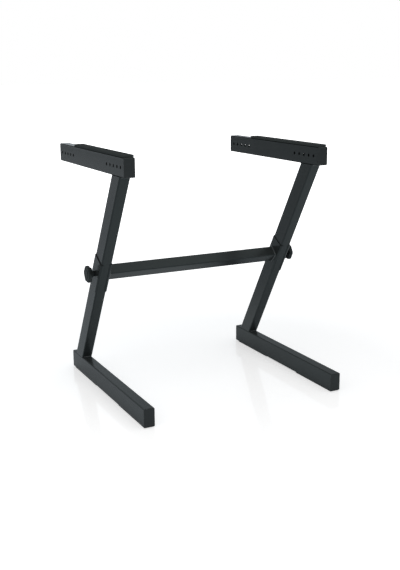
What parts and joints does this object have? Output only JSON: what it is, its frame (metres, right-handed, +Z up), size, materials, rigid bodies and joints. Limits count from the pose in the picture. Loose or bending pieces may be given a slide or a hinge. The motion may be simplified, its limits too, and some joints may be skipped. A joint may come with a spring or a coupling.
{
  "type": "z keyboard stand",
  "caption": "Z-shaped keyboard stand: two frames of rectangular tube with leaning posts and padded arms, tied by a crossbar that knob clamps hold.",
  "frame": {"origin": "on the floor, under the middle of the stand's box", "axes": "+Z up, X along the crossbar, +Y towards the rear, where the posts meet the feet"},
  "size_m": [0.65, 0.59, 0.6776],
  "materials": {
    "frame_paint": "gloss black powder coat",
    "pad_rubber": "matte, fine grain",
    "strip_rubber": "matte",
    "cap_plastic": "satin moulded",
    "knob_plastic": "satin moulded",
    "zinc_steel": "black zinc plated"
  },
  "bodies": {
    "frame": {"crossbar": "frame_paint", "left_foot_tube": "frame_paint", "left_post": "frame_paint", "left_arm_tube": "frame_paint", "left_inner_channel": "frame_paint", "left_foot_front_cap": "cap_plastic", "left_foot_rear_cap": "cap_plastic", "left_arm_front_cap": "cap_plastic", "left_arm_rear_cap": "cap_plastic", "left_foot_front_strip": "strip_rubber", "left_foot_rear_strip": "strip_rubber", "left_arm_pad": "pad_rubber", "left_nut": "zinc_steel", "right_foot_tube": "frame_paint", "right_post": "frame_paint", "right_arm_tube": "frame_paint", "right_inner_channel": "frame_paint", "right_foot_front_cap": "cap_plastic", "right_foot_rear_cap": "cap_plastic", "right_arm_front_cap": "cap_plastic", "right_arm_rear_cap": "cap_plastic", "right_foot_front_strip": "strip_rubber", "right_foot_rear_strip": "strip_rubber", "right_arm_pad": "pad_rubber", "right_nut": "zinc_steel"},
    "left_clamp": {"left_outer_channel": "frame_paint", "left_washer": "zinc_steel"},
    "left_knob_bolt": {"left_knob": "knob_plastic", "left_bolt": "zinc_steel"},
    "right_clamp": {"right_outer_channel": "frame_paint", "right_washer": "zinc_steel"},
    "right_knob_bolt": {"right_knob": "knob_plastic", "right_bolt": "zinc_steel"}
  },
  "joints": [
    {"name": "left_clamp_slide", "type": "slide", "parent": "frame", "child": "left_clamp", "axis": [-1, 0, 0], "range_m": [0, 0.01]},
    {"name": "left_knob_turn", "type": "hinge", "parent": "left_clamp", "child": "left_knob_bolt", "pos_m": [-0.3, 0.02499, 0.3368], "axis": [-1, 0, 0], "range_deg": [0, 2880]},
    {"name": "right_clamp_slide", "type": "slide", "parent": "frame", "child": "right_clamp", "axis": [1, 0, 0], "range_m": [0, 0.01]},
    {"name": "right_knob_turn", "type": "hinge", "parent": "right_clamp", "child": "right_knob_bolt", "pos_m": [0.3, 0.02499, 0.3368], "axis": [1, 0, 0], "range_deg": [0, 2880]}
  ],
  "couplings": [
    {"joint": "left_knob_turn", "follows": "left_clamp_slide", "rad_per_m": 5026.5},
    {"joint": "right_knob_turn", "follows": "right_clamp_slide", "rad_per_m": 5026.5}
  ]
}
